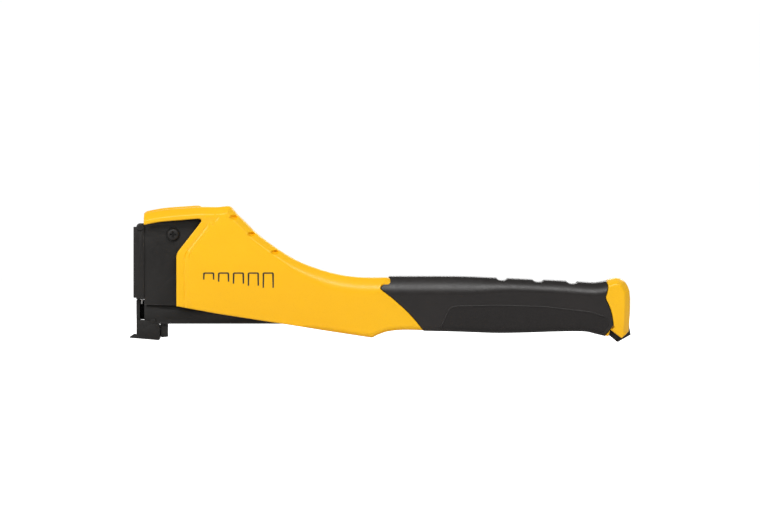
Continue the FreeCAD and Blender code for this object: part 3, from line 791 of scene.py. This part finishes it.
def roof_pad(build, sign):
    """The thin raised strip along the front of the roof, half of it on each shell."""
    path = bend([(-171.2, 93.6), (-159.9, 95.8), (-149.8, 96.9), (-130.9, 98.2)], 8)
    path = evenly(path, 2.0)
    half, rise, root = 8.6, 1.35, -0.6
    rows = []
    for k, (x, z) in enumerate(path):
        at_end = k in (0, len(path) - 1)
        lift = rise * (0.55 if at_end else 1.0)
        side = half - (0.6 if at_end else 0.0)
        profile = ((0.0, root), (0.0, lift), (side - 1.0, lift), (side - 0.3, lift * 0.72), (side, root))
        rows.append([build.verts.new((MM * x, MM * sign * y, MM * (z + up))) for y, up in profile])
    for first, second in zip(rows, rows[1:]):
        join(build, first, second)
    build.faces.new(rows[0])
    build.faces.new(rows[-1][::-1])


def shell_guides():
    """Lines that the shell's triangles follow: the crease, the grip's ends and the grooves."""
    creases = (0.5, -0.5, 0.5 - CREASE_WIDTH, -CREASE_WIDTH, -0.5 - CREASE_WIDTH)
    guides = [CREASE[1:]] + [inset(CREASE, shift)[1:-1] for shift in creases]
    for edge, shifts in ((GRIP_FRONT, (-0.25, 0.25)), (GRIP_REAR, (0.25, -0.25))):
        guides += [np.array(edge[2:-2]) + (shift, 0.0) for shift in shifts]
    for gx, gz in FINGER_GROOVES:
        for reach in (1.02, 0.8, 0.5):
            turn = [2 * math.pi * k / 24 for k in range(25)]
            oval = [
                (gx + GROOVE_LONG * reach * math.cos(a), gz + GROOVE_TALL * reach * math.sin(a))
                for a in turn
            ]
            kept = inside(oval, ROOF + [(5.4, 20.0), (-171.8, 20.0)]) & (distance(oval, ROOF) > 0.3)
            guides.append([spot for spot, keep in zip(oval, kept) if keep])
    return guides


def housing_half(side):
    sign = SIDES[side]
    chains = (
        (CUTOUT, None),
        (FRONT_EDGE, None),
        (ROOF, 0.0),
        (CORE_TOP, 0.0),
        (BUTT_TOP, 0.0),
        (BUTT_REAR, SLOT_SIDE),
        (BUTT_FOOT, SLOT_SIDE),
        (CORE_BOTTOM[:1], SLOT_SIDE),
        (CORE_BOTTOM[1:], 0.0),
        (BELLY + BELLY_FRONT[:1], 0.0),
        (BELLY_FRONT[1:], None),
        (LOWER_EDGE, None),
    )
    loops = (0.12, 0.4, 0.8, 1.4, 2.3, 3.4, 4.4, 5.2, 6.0, 7.0, 8.2)
    name = "housing_" + side + "_shell"
    piece = half_mesh(name, chains, shell_height, shell_guides(), 2.2, loops, WALL, sign)
    if side == "right":
        drill(piece, SCREW_SPOTS, 13.0, 18.0)

    details = bmesh.new()
    roof_pad(details, sign)
    for spot in SCREW_SPOTS:
        if side == "left":
            deep = PANEL_SIDE - 3.0 if spot[0] < 60 else GRIP_SIDE - 4.0
            tube_between(details, spot, -deep, -0.05, BOSS, BORE)
            continue
        tube_between(details, spot, 0.05, 11.0, BOSS, BORE)
        tube_between(details, spot, 10.9, 12.0, CUP_UNDER_GRIP if spot in UNDER_GRIP else CUP, BORE)
        if spot not in UNDER_GRIP:
            tube_between(details, spot, 11.9, 14.3, CUP, HEAD_HOLE)
    add_to(piece, details)
    settle(piece, "handle", "yellow_plastic", nodes=("housing_" + side,), sharp=32.0)


# The grip --------

GRIP_WALL = 2.1
GRIP_TALL = 39.5
SLOT_FRONT, SLOT_TOP = 157.5, 12.0
SCALLOP_LONG, SCALLOP_DEEP = 3.9, 1.7
GRIP_TOP = bend(
    [(-8.0, 47.7), (20.0, 47.8), (57.9, 47.7), (83.9, 46.7), (106.8, 45.7), (131.8, 44.6)]
    + [(151.3, 43.4), (158.5, 43.5), (166.5, 44.8)],
    8,
)
GRIP_BOTTOM = bend(
    [(20.0, 8.1), (32.1, 8.0), (57.9, 7.4), (83.9, 6.5), (106.8, 6.8), (127.6, 7.5)]
    + [(147.8, 7.6), (156.8, 5.8), (163.4, 4.3), (170.0, 3.6)],
    8,
)
PAD_EDGE = rounded(
    [(42.6, 8.0), (50.4, 24.6), (54.6, 26.1), (86.0, 26.8)]
    + [(119.6, 25.7), (153.0, 21.9), (163.2, 18.4)],
    4.0,
)


def grip_crest(x):
    return np.interp(x, *zip(*GRIP_TOP))


def grip_top(x):
    """The top line of the grip, scooped out at three thumb scallops."""
    level = grip_crest(x)
    for spot in SCALLOPS:
        round_off = np.sqrt(np.maximum(1 - ((x - spot) / SCALLOP_LONG) ** 2, 0.0))
        level = level - SCALLOP_DEEP * round_off
    return level


def grip_bottom(x):
    return np.interp(x, *zip(*GRIP_BOTTOM))


def grip_width(x, z):
    """Half the grip's width at points of its side view."""
    depth, rise = grip_crest(x) - z, z - grip_bottom(x)
    rear = ease(x, 60.0, 100.0)
    side = GRIP_SIDE - 0.15 - 0.5 * rear + 0.5 * ease(x, 125.0, 160.0)
    width = smooth_min(8.6 + 0.8 * rear + (0.98 + 0.14 * rear) * depth, side, 6.6 - 1.4 * rear)
    return width - edge_drop(grip_top(x) - z, 1.2) - 0.9 * edge_drop(rise, 4.2)


def grip_sheet(sign):
    """The rubber's outer face, in metres: rows from front to rear, each from top to bottom."""
    edge_depths = [0.0, 0.1, 0.3, 0.6, 1.0, 1.6]
    depths = np.concatenate([edge_depths, np.linspace(2.3, 14.0, 20), np.linspace(15.0, 31.0, 12)])
    rises = np.array([4.6, 3.4, 2.3, 1.4, 0.7, 0.25, 0.05, 0.0])
    share = np.concatenate([depths / GRIP_TALL, 1 - rises / GRIP_TALL])[None, :]
    ends = np.array([0.0, 0.0007, 0.002, 0.004, 0.007])
    along = np.concatenate([ends, np.linspace(0.011, 0.989, 230), 1 - ends[::-1]])[:, None]
    # the ends lean, so each row starts from a guess, and its place and height settle together
    x = 20.0 + 130.0 * along + 0.0 * share
    for _ in range(14):
        top, bottom = grip_top(x), grip_bottom(x)
        z = top + (bottom - top) * share
        front, rear = grip_front_x(z), grip_rear_x(z)
        x = 0.5 * (x + front + (rear - front) * along)
    edge = np.maximum(np.minimum(x - front, rear - x), 0.0)
    y = grip_width(x, z) - edge_drop(edge, 0.9)
    over = [(x[:, 0], y[:, 0] * t, z[:, 0] + 0.25 * (1 - t**2)) for t in np.arange(7) / 7]
    under = [(x[:, -1], y[:, -1] * (1 - k / 5), z[:, -1]) for k in range(1, 6)]
    over, under = (np.array(part).transpose(2, 0, 1) for part in (over, under))
    whole = np.concatenate([over, np.stack([x, y, z], axis=2), under], axis=1)
    return whole * np.array((1.0, sign, 1.0)) * MM


def grip_half(side):
    sign = SIDES[side]
    sheet = grip_sheet(sign)
    tall, wide = sheet.shape[:2]
    vertices = sheet.reshape(-1, 3)
    polygons = []
    for corner in range(tall * wide - wide):
        x, y, z = vertices[corner] / MM
        in_slot = x > SLOT_FRONT and z < SLOT_TOP and abs(y) < SLOT_SIDE
        if corner % wide < wide - 1 and not in_slot:
            polygons.append((corner, corner + wide, corner + wide + 1, corner + 1))
    mesh = bpy.data.meshes.new("grip_" + side)
    mesh.from_pydata(vertices, [], polygons)
    mesh.update()
    facing = sum(p.normal.y * p.area for p in mesh.polygons)
    if facing * sign < 0:
        mesh.flip_normals()
    piece = new_piece("grip_" + side + "_rubber", mesh)
    wall = piece.modifiers.new("wall", "SOLIDIFY")
    wall.thickness = GRIP_WALL * MM
    wall.offset = -1.0
    wall.use_even_offset = True
    wall.thickness_clamp = 0.5
    apply_modifiers(piece)
    if side == "right":
        drill(piece, UNDER_GRIP, 11.0, 18.0)
    settle(piece, "handle", "black_rubber", nodes=("grip_" + side,), sharp=50.0)


def grip_field(side):
    """The raised pebbled field along the lower side of the grip."""
    lower = [(x, float(grip_bottom(x)) + 1.3) for x in np.linspace(160.0, 43.2, 60)]
    rear = [(165.2, 17.0), (166.4, 12.0), (163.4, 8.2)]
    outline = PAD_EDGE[1:-1] + rear + lower
    proud = 0.3

    def height(points):
        rim = distance(points, outline + outline[:1])
        return grip_width(points[:, 0], points[:, 1]) + proud - edge_drop(rim, proud)

    name, loops = "grip_" + side + "_field", (0.1, 0.3, 0.8, 1.6, 2.6, 3.8)
    piece = half_mesh(name, ((outline, None),), height, (), 2.4, loops, 0.8, SIDES[side])
    settle(piece, "handle", "pebbled_rubber", sharp=60.0)


def grip_bead(side):
    """The fine raised line along the upper edge of the pebbled field."""
    path = np.array(evenly(PAD_EDGE, 0.9))
    path = path[path[:, 1] > grip_bottom(path[:, 0]) + 2.0]
    step = np.gradient(path, axis=0)
    across = np.stack([-step[:, 1], step[:, 0]], axis=1) / np.hypot(step[:, 0], step[:, 1])[:, None]
    section = ((0.62, -0.1), (0.40, 0.45), (0.0, 0.72), (-0.40, 0.6), (-0.55, -0.1))
    rows = []
    for offset, lift in section:
        x, z = (path + across * offset).T
        rows.append(np.stack([x, SIDES[side] * (grip_width(x, z) + lift), z], axis=1) * MM)
    count, around = len(path), len(section)
    polygons = [[r * count + end for r in range(around)] for end in (0, count - 1)]
    for r in range(around):
        for k in range(count - 1):
            a, b = r * count + k, (r + 1) % around * count + k
            polygons.append((a, a + 1, b + 1, b))
    name = "grip_" + side + "_bead"
    piece = new_piece(name, mesh_of(name, np.concatenate(rows), polygons))
    settle(piece, "handle", "black_rubber", sharp=60.0)


# Metal and small moulded pieces: the CAD shape with real edges --------


FLAT, CORNER = math.radians(0.6), math.radians(28.0)


def eased(node, radius):
    """A copy of a CAD node whose flat faces are whole again and whose edges are rounded."""
    name, slot = node + "_eased", SLOT_OF[node]
    edit = bmesh.new()
    edit.from_mesh(frame["nodes"][node].data)
    bmesh.ops.remove_doubles(edit, verts=edit.verts, dist=WELD)
    bmesh.ops.dissolve_limit(
        edit, angle_limit=FLAT, verts=edit.verts, edges=edit.edges, delimit={"NORMAL"}
    )
    mesh = bpy.data.meshes.new(name)
    edit.to_mesh(mesh)
    edit.free()
    piece = new_piece(name, mesh)
    bevel = piece.modifiers.new("edges", "BEVEL")
    bevel.width = radius * MM
    bevel.segments = 2
    bevel.limit_method = "ANGLE"
    bevel.angle_limit = CORNER
    bevel.use_clamp_overlap = True
    bevel.material = 1
    for finish in (slot, "rubbed_edges" if slot == "black_steel" else slot):
        mesh.materials.append(FINISHES[finish])
    apply_modifiers(piece)
    settle(piece, BODY_OF[node], None, nodes=(node,))


# how far each piece's edges are rounded
EASED = {
    "head_plate_left": 0.35,
    "head_plate_right": 0.35,
    "striker_block": 0.5,
    "driver_blade": 0.12,
    "driver_rivets": 0.3,
    "frame_pins": 0.3,
    "cover_pin": 0.35,
    "head_nut": 0.35,
    "spring_abutment": 0.5,
    "stroke_bumper": 0.8,
    "rest_stop": 0.5,
    "pivot_bush_left": 0.25,
    "pivot_bush_right": 0.25,
    "magazine_channel": 0.3,
    "staple_rail": 0.2,
    "nose_foot": 0.4,
    "nose_plate": 0.3,
    "heel_block": 0.4,
    "foot_rivets": 0.08,
    "pivot_studs": 0.25,
    "catch_bar": 0.2,
    "spring_seat": 0.4,
    "front_cover": 0.45,
    "follower_block": 0.4,
    "pusher_rod": 0.3,
    "latch_pin": 0.25,
    "pusher": 0.25,
    "latch_handle": 0.7,
}


# Screws, each a turned blank with a cross recess --------


def turned(profile, sides=40):
    """A closed solid turned around Y from (radius, level) pairs."""
    build = bmesh.new()
    rings = [
        ring(build, circle(0.0, 0.0, radius, sides if radius else 1), level)
        for radius, level in profile
    ]
    for first, second in zip(rings, rings[1:]):
        join(build, first, second)
    return closed_mesh("turned", build)


def recess(piece, length, width, bottom, top):
    """Cuts a tapered cross into the end of a turned piece."""
    arms = []
    for long, wide in ((length, width), (width, length)):
        build = bmesh.new()
        ends = []
        for level, share in ((bottom, 0.62), (top, 1.0)):
            x, z = share * long / 2, share * wide / 2
            ends.append(ring(build, ((-x, -z), (x, -z), (x, z), (-x, z)), level))
            build.faces.new(ends[-1])
        join(build, *ends)
        arms.append(new_piece("cross_arm", closed_mesh("cross_arm", build)))
    cut(piece, *arms)


def threads(core, crest, start, end, pitch):
    """The zigzag side of a threaded shank, from one level to another."""
    count = int(abs(end - start) / pitch)
    step = (end - start) / count
    path = []
    for k in range(count):
        path += [(core, start + step * (k + 0.1)), (crest, start + step * (k + 0.5))]
        path += [(core, start + step * (k + 0.9))]
    return path


class Steps:
    """A Geometry Nodes group with named inputs, built socket by socket."""

    def __init__(self, name, inputs):
        self.tree = bpy.data.node_groups.new(name, "GeometryNodeTree")
        face = self.tree.interface
        face.new_socket("Geometry", in_out="INPUT", socket_type="NodeSocketGeometry")
        for label, kind in inputs:
            face.new_socket(label, in_out="INPUT", socket_type=kind)
        face.new_socket("Geometry", in_out="OUTPUT", socket_type="NodeSocketGeometry")
        self.start = self.tree.nodes.new("NodeGroupInput").outputs
        self.end = self.tree.nodes.new("NodeGroupOutput").inputs

    def add(self, kind, inputs=(), **settings):
        node = self.tree.nodes.new(kind)
        for key, value in settings.items():
            setattr(node, key, value)
        for socket, value in dict(inputs).items():
            if isinstance(value, bpy.types.NodeSocket):
                self.tree.links.new(value, node.inputs[socket])
            else:
                node.inputs[socket].default_value = value
        return node.outputs

    def math(self, operation, first, second=0.0):
        return self.add("ShaderNodeMath", {0: first, 1: second}, operation=operation)[0]

    def finish(self, geometry):
        """Real geometry with its material, handed to the group's output."""
        real = self.add("GeometryNodeRealizeInstances", {"Geometry": geometry})["Geometry"]
        coat = self.add("GeometryNodeSetMaterial", {"Geometry": real, "Material": self.start["Finish"]})
        self.tree.links.new(coat["Geometry"], self.end["Geometry"])
        return self.tree


def run_steps(piece, tree, values):
    """Runs a node group on a piece and keeps the plain mesh it makes."""
    steps = piece.modifiers.new("steps", "NODES")
    steps.node_group = tree
    for item in tree.interface.items_tree:
        if item.in_out == "INPUT" and item.name in values:
            steps[item.identifier] = values[item.name]
    apply_modifiers(piece)


def screw_spread():
    """Sets one screw down on every vertex of the guide mesh."""
    steps = Steps("screws_on_bosses", (("Screw", "NodeSocketObject"), ("Finish", "NodeSocketMaterial")))
    screw = steps.add("GeometryNodeObjectInfo", {"Object": steps.start["Screw"]})["Geometry"]
    points = steps.add("GeometryNodeMeshToPoints", {"Mesh": steps.start["Geometry"]})["Points"]
    turn = steps.add(
        "FunctionNodeRandomValue", {"Min": (0.0, 0.0, 0.0), "Max": (0.0, 1.5, 0.0), "Seed": 7},
        data_type="FLOAT_VECTOR",
    )["Value"]
    spread = steps.add(
        "GeometryNodeInstanceOnPoints", {"Points": points, "Instance": screw, "Rotation": turn}
    )["Instances"]
    return steps.finish(spread)


def shell_screws():
    profile = [(0.0, -10.0), (0.9, -10.0), (1.35, -9.2)] + threads(1.35, 1.88, -9.0, 5.0, 1.1)
    profile += [(1.5, 5.4), (1.5, 12.0), (3.5, 12.0), (3.6, 12.15)]
    profile += [(3.6, 12.9), (3.2, 13.6), (2.3, 14.0), (0.0, 14.0)]
    form = new_piece("screw_form", turned(profile))
    recess(form, 4.0, 1.0, 12.6, 14.3)
    guide = bpy.data.meshes.new("screw_spots")
    guide.from_pydata([(x * MM, 0.0, z * MM) for x, z in SCREW_SPOTS], [], [])
    piece = new_piece("shell_screws", guide)
    slot = SLOT_OF["housing_screws"]
    run_steps(piece, screw_spread(), {"Screw": form, "Finish": FINISHES[slot]})
    discard(form)
    settle(piece, "handle", slot, nodes=("housing_screws",), sharp=28.0)


def cross_head_screw():
    low, high = box_mm("head_screw")
    profile = [(0.0, -12.4), (2.2, -12.38), (3.3, -12.15), (4.15, -11.6), (4.6, -10.9)]
    profile += [(4.7, -10.4), (4.7, -9.85), (2.5, -9.82), (2.5, 6.0)]
    profile += threads(2.15, 2.49, 6.2, 12.4, 0.8) + [(1.8, 12.9), (0.0, 12.9)]
    piece = new_piece("cross_head_screw", turned(profile, 48))
    recess(piece, 5.2, 1.25, -11.0, -12.9)
    piece.data.transform(
        Matrix.Translation(((low[0] + high[0]) / 2 * MM, 0.0, (low[2] + high[2]) / 2 * MM))
    )
    settle(piece, "handle", SLOT_OF["head_screw"], nodes=("head_screw",), sharp=28.0)


# Wound springs --------


def winding():
    """A coil along Z with closed end turns, swept with a round wire."""
    sizes = ("Turns", "Mean Radius", "Length", "Wire")
    inputs = [(label, "NodeSocketFloat") for label in sizes] + [("Finish", "NodeSocketMaterial")]
    steps = Steps("wound_spring", inputs)
    turns, radius, length, wire = (steps.start[label] for label in sizes)
    line = steps.add("GeometryNodeCurvePrimitiveLine")["Curve"]
    count = steps.math("MULTIPLY", turns, 18.0)
    path = steps.add("GeometryNodeResampleCurve", {"Curve": line, "Count": count})["Curve"]
    along = steps.add("GeometryNodeSplineParameter")["Factor"]
    angle = steps.math("MULTIPLY", steps.math("MULTIPLY", along, turns), 2 * math.pi)
    across, over = (
        steps.math("MULTIPLY", steps.math(wave, angle), radius) for wave in ("COSINE", "SINE")
    )
    # each end has 1.2 turns lying on each other, and the open turns take up the rest
    share = steps.math("DIVIDE", 1.2, turns)
    rest = steps.math("SUBTRACT", 1.0, share)
    closed = steps.math("MULTIPLY", wire, 1.24)
    open_part = steps.math("SUBTRACT", length, steps.math("MULTIPLY", wire, 3.48))
    half = level = steps.math("MULTIPLY", wire, 0.5)
    for low, high, rise in ((0.0, share, closed), (share, rest, open_part), (rest, 1.0, closed)):
        ends = {"Value": along, "From Min": low, "From Max": high, "To Max": rise}
        level = steps.math("ADD", level, steps.add("ShaderNodeMapRange", ends)["Result"])
    spot = steps.add("ShaderNodeCombineXYZ", {"X": across, "Y": over, "Z": level})["Vector"]
    helix = steps.add("GeometryNodeSetPosition", {"Geometry": path, "Position": spot})["Geometry"]
    section = steps.add("GeometryNodeCurvePrimitiveCircle", {"Resolution": 8, "Radius": half})["Curve"]
    swept = steps.add(
        "GeometryNodeCurveToMesh", {"Curve": helix, "Profile Curve": section, "Fill Caps": True}
    )["Mesh"]
    return steps.finish(swept)


WINDING = winding()


def wound_spring(node, axis, turns, wire, anchored_high):
    """A coil in place of a CAD spring, riding on the spring's body."""
    low, high = box_mm(node)
    k = "XYZ".index(axis)
    host = bpy.data.meshes.new(node + "_coil")
    host.from_pydata([(0.0, 0.0, 0.0)], [], [])
    piece = new_piece(node + "_coil", host)
    values = {
        "Turns": float(turns),
        "Mean Radius": ((high[1] - low[1]) / 2 - wire / 2) * MM,
        "Length": (high[k] - low[k]) * MM,
        "Wire": wire * MM,
        "Finish": FINISHES["spring_steel"],
    }
    run_steps(piece, WINDING, values)
    foot = [(a + b) / 2 for a, b in zip(low, high)]
    foot[k] = low[k]
    turn = Matrix.Rotation(math.pi / 2 if axis == "X" else 0.0, 4, "Y")
    piece.data.transform(Matrix.Translation([value * MM for value in foot]) @ turn)
    settle(piece, BODY_OF[node], "spring_steel", nodes=(node,), sharp=40.0)
    anchor = list(foot)
    anchor[k] = high[k] if anchored_high else low[k]
    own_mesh(piece)


# Printed staple sizes on the side panels --------

PRINT_LEFT, PRINT_TOP, PRINT_PITCH = -128.6, 50.6, 10.8
CROWN, STROKE = 8.2, 1.0


def staple_outline(left, leg):
    """A staple with its legs down, drawn as one closed stroke."""
    loop = []
    for within, radius, steps in ((0.0, 1.3, 4), (STROKE, 0.5, 3)):
        near, far, top = left + within, left + CROWN - within, PRINT_TOP - within
        foot = PRINT_TOP - leg
        path = rounded([(near, foot), (near, top), (far, top), (far, foot)], radius, steps)
        loop += path[::-1] if within else path
    return loop


def staple_sizes(side):
    """A row of plain staple outlines with growing legs, printed on the panel."""
    build = bmesh.new()
    for size in range(5):
        loop = staple_outline(PRINT_LEFT + PRINT_PITCH * size, 5.2 + 1.5 * size)
        faces = [ring(build, loop, SIDES[side] * (PANEL_SIDE + proud)) for proud in (0.03, -0.04)]
        for face in faces:
            build.faces.new(face)
        join(build, *faces)
    bmesh.ops.triangulate(build, faces=build.faces)
    name = "staple_sizes_" + side
    settle(new_piece(name, closed_mesh(name, build)), "handle", "ink", sharp=None)


# Floor, light and camera --------


AIM = Vector((0.0, 0.0, 0.05))


def area_light(name, place, size, power):
    """A rectangle of soft light that faces the middle of the tool."""
    data = bpy.data.lights.new(name, "AREA")
    data.shape = "RECTANGLE"
    data.size, data.size_y = size
    data.energy = power
    light = bpy.data.objects.new(name, data)
    light.location = place
    light.rotation_euler = (AIM - Vector(place)).to_track_quat("-Z", "Y").to_euler()
    bpy.context.scene.collection.objects.link(light)


def stage_floor():
    reach, level = 12.0, cad_box[0].z - 0.0005
    mesh = bpy.data.meshes.new("floor")
    corners = [(-reach, -reach), (reach, -reach), (reach, reach), (-reach, reach)]
    mesh.from_pydata([(x, y, level) for x, y in corners], [], [(0, 1, 2, 3)])
    floor = new_piece("studio_floor", mesh)
    white = Finish("studio_floor_white").set(Base_Color=(0.82, 0.82, 0.82, 1.0), Roughness=0.95)
    white.set(Emission_Color=(1.0, 1.0, 1.0, 1.0), Specular_IOR_Level=0.0)
    seen = white.add("ShaderNodeLightPath").outputs["Is Camera Ray"]
    white.link(white.remap(seen, 0.0, 1.0, 0.0, 0.8), white.shader.inputs["Emission Strength"])
    floor.data.materials.append(white.material)


def studio():
    """A white room that is bright to look at and dimmer as a light, with three soft lights."""
    world = bpy.data.worlds.new("studio_white")
    world.use_nodes = True
    tree = world.node_tree
    background = tree.nodes["Background"]
    background.inputs["Color"].default_value = (1.0, 1.0, 1.0, 1.0)
    seen = tree.nodes.new("ShaderNodeLightPath")
    level = tree.nodes.new("ShaderNodeMapRange")
    level.inputs["To Min"].default_value = 0.33
    level.inputs["To Max"].default_value = 1.02
    tree.links.new(seen.outputs["Is Camera Ray"], level.inputs["Value"])
    tree.links.new(level.outputs["Result"], background.inputs["Strength"])
    bpy.context.scene.world = world
    area_light("key_strip", (0.1, -1.1, 1.35), (1.6, 0.6), 17.0)
    area_light("front_fill", (-1.3, -1.25, 0.95), (0.9, 0.9), 11.0)
    area_light("rim", (0.3, 1.2, 0.9), (1.2, 0.5), 12.0)
    # plain sRGB keeps the plastic's full colour
    bpy.context.scene.view_settings.view_transform = "Standard"


def camera():
    """A long lens square to the left side, framing the tool with room around it."""
    low, high = cad_box
    data = bpy.data.cameras.new("camera")
    view_width, reach = 0.5518, 3.0
    data.sensor_width = 36.0
    data.lens = data.sensor_width * (reach + low.y) / view_width
    view = bpy.data.objects.new("camera", data)
    middle = (low + high) / 2
    view.location = (middle.x - 0.0002, -reach, middle.z + 0.0055)
    view.rotation_euler = (math.radians(90.0), 0.0, 0.0)
    bpy.context.scene.collection.objects.link(view)
    bpy.context.scene.camera = view


# The whole tool --------

for side_name in SIDES:
    housing_half(side_name)
for side_name in SIDES:
    grip_half(side_name)
    grip_field(side_name)
    grip_bead(side_name)
for node_name, edge_radius in EASED.items():
    eased(node_name, edge_radius)
shell_screws()
cross_head_screw()
wound_spring("return_spring", "Z", 13.5, 1.6, True)
wound_spring("pusher_spring", "X", 112.0, 0.8, True)
wound_spring("latch_spring", "X", 3.6, 0.4, False)
for side_name in SIDES:
    staple_sizes(side_name)
stage_floor()
studio()
camera()
